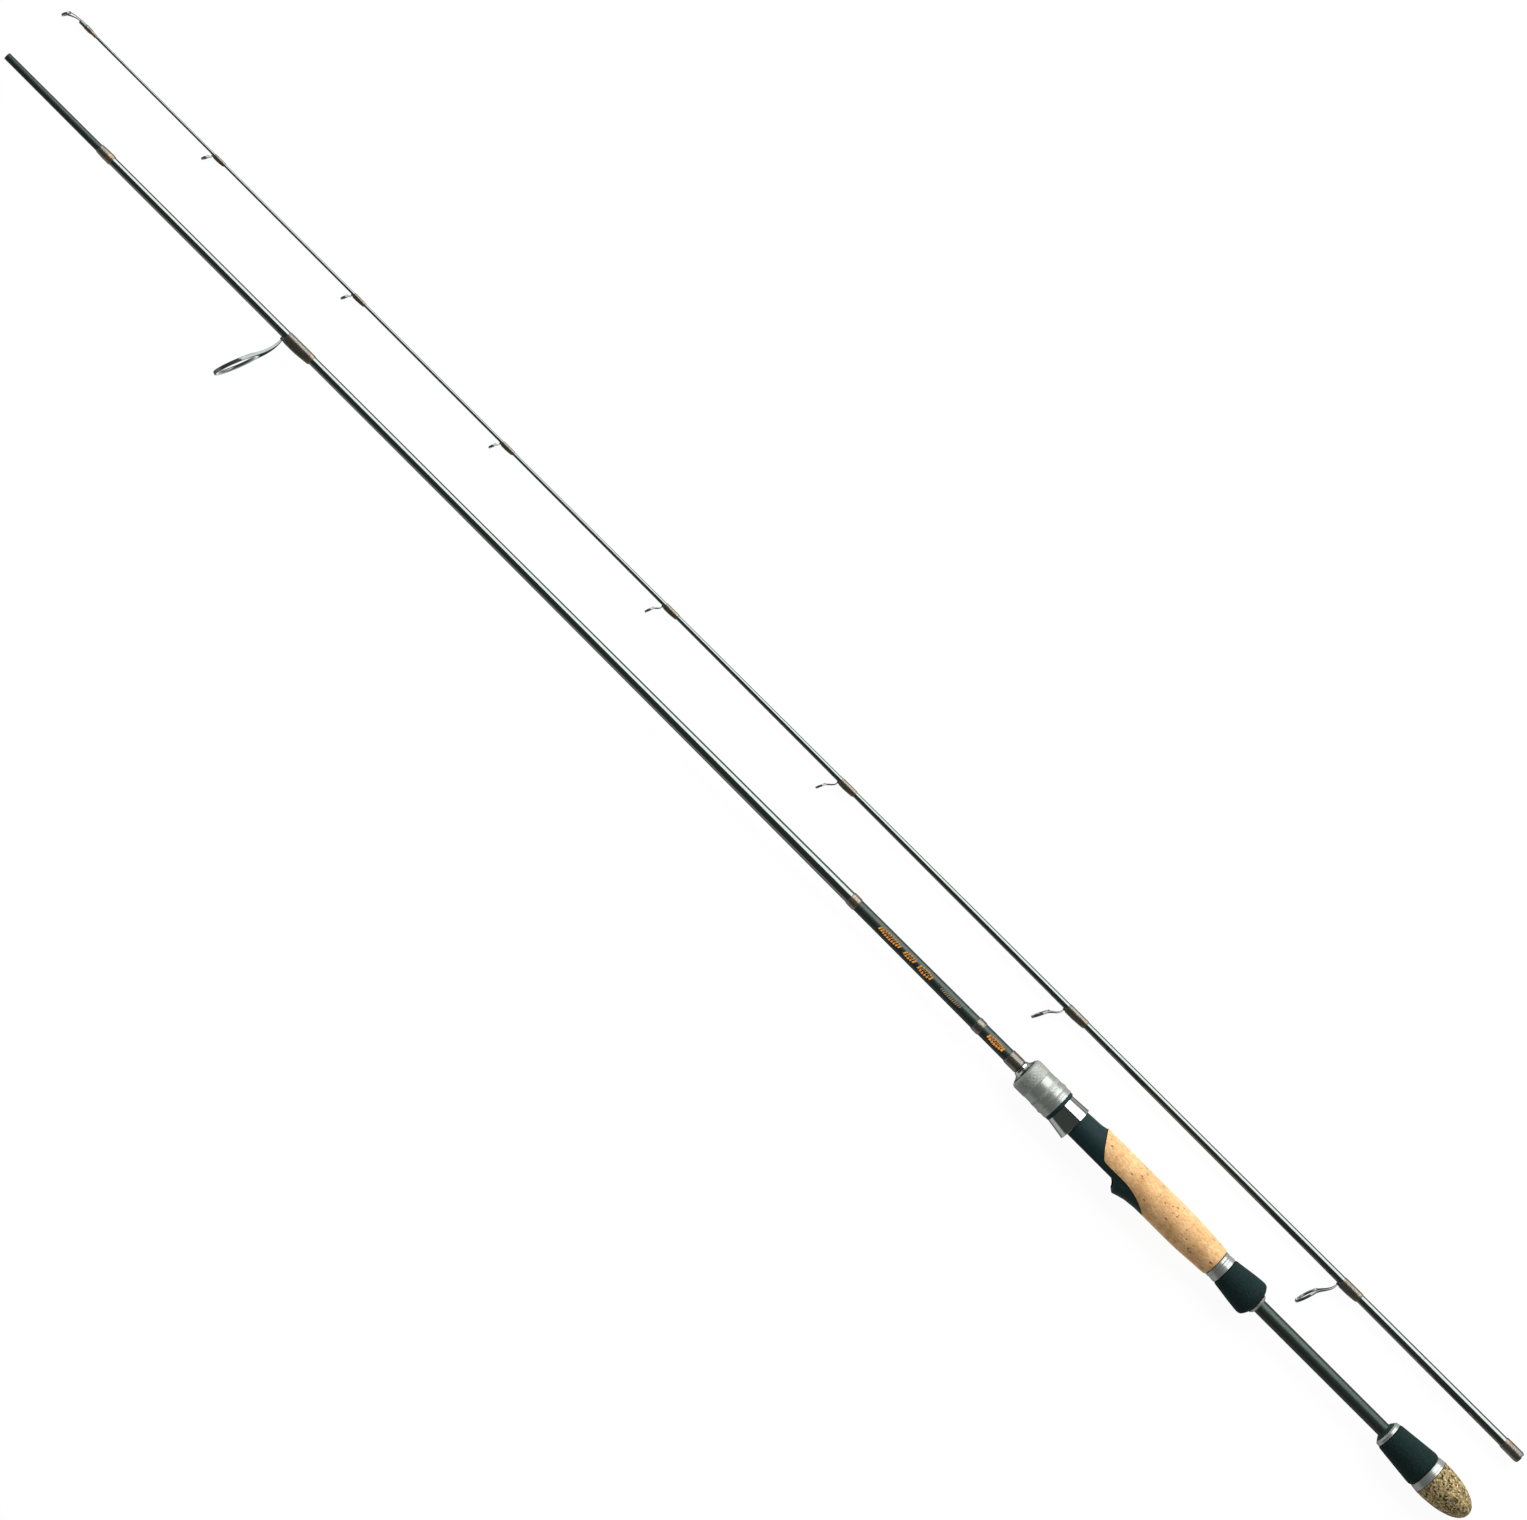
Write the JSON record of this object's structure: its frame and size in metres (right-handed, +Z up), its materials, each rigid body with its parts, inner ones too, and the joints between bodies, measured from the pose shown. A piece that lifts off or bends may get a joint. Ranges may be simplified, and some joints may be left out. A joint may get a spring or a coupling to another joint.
{
  "type": "take-apart spinning rod",
  "caption": "Take-apart spinning rod: tapered blanks with ringed line guides, a reel seat with a sliding hood and lock nut, and a split cork and foam grip.",
  "frame": {"origin": "centre of the floor area that the two sections take up as they lie side by side, at floor level", "axes": "+X along the rod from its thin ends to the butt knob, +Y from the butt section to the tip section (the guides point to -Y), +Z up from the floor"},
  "size_m": [1.1824, 0.0929, 0.0283],
  "materials": {
    "carbon": "black graphite under a gloss clear coat, matte grey-green below the trim band",
    "thread": "dark brown thread with gold end bands under epoxy",
    "guide_metal": "polished stainless strip",
    "ceramic": "polished dark ceramic",
    "seat_plastic": "black moulded, satin",
    "hood_metal": "mirror polish",
    "nut_metal": "knurled and polished bands",
    "ring_metal": "bright turned",
    "cork": "sanded natural cork with dark pits",
    "foam": "black closed-cell foam, matte",
    "composite_cork": "dark speckled rubberised cork"
  },
  "bodies": {
    "butt_section": {"butt_blank": "carbon", "spigot_wrap": "thread", "guide_1_frame": "guide_metal", "guide_1_ring": "ceramic", "guide_1_wrap": "thread", "upper_trim_wrap": "thread", "lower_trim_wrap": "thread", "seat_wrap": "thread", "winding_check": "ring_metal", "seat_body": "seat_plastic", "seat_arbor_front": "composite_cork", "seat_arbor_middle": "composite_cork", "seat_arbor_rear": "composite_cork", "cork_grip": "cork", "grip_ring": "ring_metal", "grip_flare": "foam", "flare_end_ring": "ring_metal", "rear_grip_ring": "ring_metal", "rear_grip": "foam", "butt_ring": "ring_metal", "butt_knob": "composite_cork"},
    "moving_hood": {"hood_shell": "hood_metal", "hood_cushion": "seat_plastic"},
    "lock_nut": {"nut_shell": "nut_metal", "nut_insert": "seat_plastic"},
    "tip_section": {"tip_blank": "carbon", "socket_sleeve": "carbon", "socket_wrap": "thread", "guide_2_frame": "guide_metal", "guide_2_ring": "ceramic", "guide_2_wrap": "thread", "guide_3_frame": "guide_metal", "guide_3_ring": "ceramic", "guide_3_wrap": "thread", "guide_4_frame": "guide_metal", "guide_4_ring": "ceramic", "guide_4_wrap": "thread", "guide_5_frame": "guide_metal", "guide_5_ring": "ceramic", "guide_5_wrap": "thread", "guide_6_frame": "guide_metal", "guide_6_ring": "ceramic", "guide_6_wrap": "thread", "guide_7_frame": "guide_metal", "guide_7_ring": "ceramic", "guide_7_wrap": "thread", "guide_8_frame": "guide_metal", "guide_8_ring": "ceramic", "guide_8_wrap": "thread", "tip_top_frame": "guide_metal", "tip_top_ring": "ceramic", "tip_top_wrap": "thread"}
  },
  "joints": [
    {"name": "hood_slide", "type": "slide", "parent": "butt_section", "child": "moving_hood", "axis": [1, 0, -0.0024], "range_m": [0, 0.01]},
    {"name": "nut_turn", "type": "hinge", "parent": "moving_hood", "child": "lock_nut", "pos_m": [0.2588, -0.00096, 0.01263], "axis": [1, 0, -0.0024], "range_deg": [0, 1800]},
    {"name": "tip_slide", "type": "slide", "parent": "butt_section", "child": "tip_section", "axis": [-1, 0, 0], "range_m": [0, 1.19]}
  ],
  "couplings": [
    {"joint": "hood_slide", "follows": "nut_turn", "m_per_rad": 0.00031831}
  ]
}
